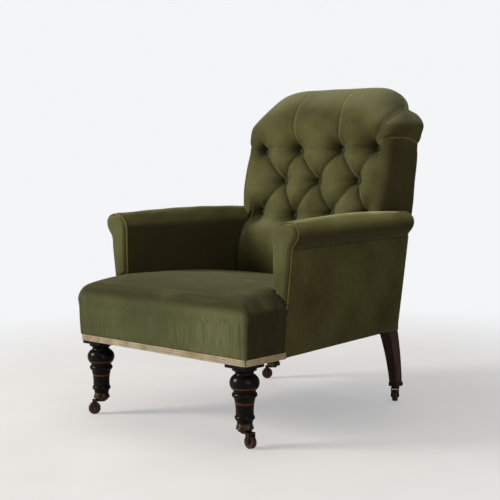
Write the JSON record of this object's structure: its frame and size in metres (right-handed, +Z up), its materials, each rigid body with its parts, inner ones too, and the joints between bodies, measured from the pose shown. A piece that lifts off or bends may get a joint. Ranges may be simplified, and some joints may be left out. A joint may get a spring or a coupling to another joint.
{
  "type": "button back armchair",
  "caption": "Low upholstered armchair with a deep-buttoned raked back, scrolled arms, a sprung seat, turned front legs, swept rear legs and swivelling castors.",
  "frame": {"origin": "on the floor under the middle of the chair's bounding box", "axes": "+X to the right seen from the front, the front of the chair faces -Y, +Z up"},
  "size_m": [0.714, 0.8211, 0.898],
  "materials": {
    "velvet": "matte",
    "piping": "matte",
    "gimp_braid": "matte",
    "beech": "satin",
    "ebonised_wood": "gloss",
    "dark_polished_wood": "satin",
    "aged_brass": "satin",
    "steel": "satin",
    "lignum_vitae": "satin",
    "hair": "matte",
    "jute": "matte",
    "black_cotton": "matte"
  },
  "bodies": {
    "chair": {"arm_cover_left": "velvet", "arm_cover_right": "velvet", "arm_facing_left": "velvet", "arm_facing_right": "velvet", "arm_post_left": "beech", "arm_post_right": "beech", "arm_rail_left": "beech", "arm_rail_right": "beech", "arm_stuffing_left": "hair", "arm_stuffing_right": "hair", "back_buttons": "velvet", "back_cover": "velvet", "back_hessian": "jute", "back_stuffing": "hair", "back_webbing": "jute", "button_ties": "jute", "castor_cup_front_left": "aged_brass", "castor_cup_front_right": "aged_brass", "castor_cup_rear_left": "aged_brass", "castor_cup_rear_right": "aged_brass", "castor_screws": "aged_brass", "corner_block_screws": "steel", "corner_blocks": "beech", "crest_rail": "beech", "dust_cover": "black_cotton", "facing_piping_left": "piping", "facing_piping_right": "piping", "front_leg_left": "ebonised_wood", "front_leg_right": "ebonised_wood", "front_seat_rail": "beech", "lower_arm_rail_left": "beech", "lower_arm_rail_right": "beech", "lower_back_rail": "beech", "outside_arm_left": "velvet", "outside_arm_right": "velvet", "outside_back": "velvet", "rear_leg_left": "dark_polished_wood", "rear_leg_right": "dark_polished_wood", "rear_seat_rail": "beech", "seat_cover": "velvet", "seat_gimp": "gimp_braid", "seat_springs": "steel", "seat_stuffing": "hair", "seat_webbing": "jute", "side_seat_rail_left": "beech", "side_seat_rail_right": "beech", "spring_hessian": "jute"},
    "horn_front_left": {"castor_horn_front_left": "aged_brass", "castor_axle_front_left": "aged_brass"},
    "wheel_front_left": {"castor_wheel_front_left": "lignum_vitae"},
    "horn_front_right": {"castor_horn_front_right": "aged_brass", "castor_axle_front_right": "aged_brass"},
    "wheel_front_right": {"castor_wheel_front_right": "lignum_vitae"},
    "horn_rear_left": {"castor_horn_rear_left": "aged_brass", "castor_axle_rear_left": "aged_brass"},
    "wheel_rear_left": {"castor_wheel_rear_left": "lignum_vitae"},
    "horn_rear_right": {"castor_horn_rear_right": "aged_brass", "castor_axle_rear_right": "aged_brass"},
    "wheel_rear_right": {"castor_wheel_rear_right": "lignum_vitae"}
  },
  "joints": [
    {"name": "swivel_front_left", "type": "hinge", "parent": "chair", "child": "horn_front_left", "pos_m": [-0.27, -0.366, 0.04], "axis": [0, 0, 1], "continuous": true},
    {"name": "roll_front_left", "type": "hinge", "parent": "horn_front_left", "child": "wheel_front_left", "pos_m": [-0.28259, -0.38154, 0.0165], "axis": [0.7771, -0.6293, 0], "continuous": true},
    {"name": "swivel_front_right", "type": "hinge", "parent": "chair", "child": "horn_front_right", "pos_m": [0.27, -0.366, 0.04], "axis": [0, 0, 1], "continuous": true},
    {"name": "roll_front_right", "type": "hinge", "parent": "horn_front_right", "child": "wheel_front_right", "pos_m": [0.28989, -0.36809, 0.0165], "axis": [0.1045, 0.9945, 0], "continuous": true},
    {"name": "swivel_rear_left", "type": "hinge", "parent": "chair", "child": "horn_rear_left", "pos_m": [-0.236, 0.30675, 0.04], "axis": [0, 0, 1], "continuous": true},
    {"name": "roll_rear_left", "type": "hinge", "parent": "horn_rear_left", "child": "wheel_rear_left", "pos_m": [-0.25086, 0.29337, 0.0165], "axis": [0.6691, -0.7431, 0], "continuous": true},
    {"name": "swivel_rear_right", "type": "hinge", "parent": "chair", "child": "horn_rear_right", "pos_m": [0.236, 0.30675, 0.04], "axis": [0, 0, 1], "continuous": true},
    {"name": "roll_rear_right", "type": "hinge", "parent": "horn_rear_right", "child": "wheel_rear_right", "pos_m": [0.246, 0.28943, 0.0165], "axis": [0.866, 0.5, 0], "continuous": true}
  ]
}
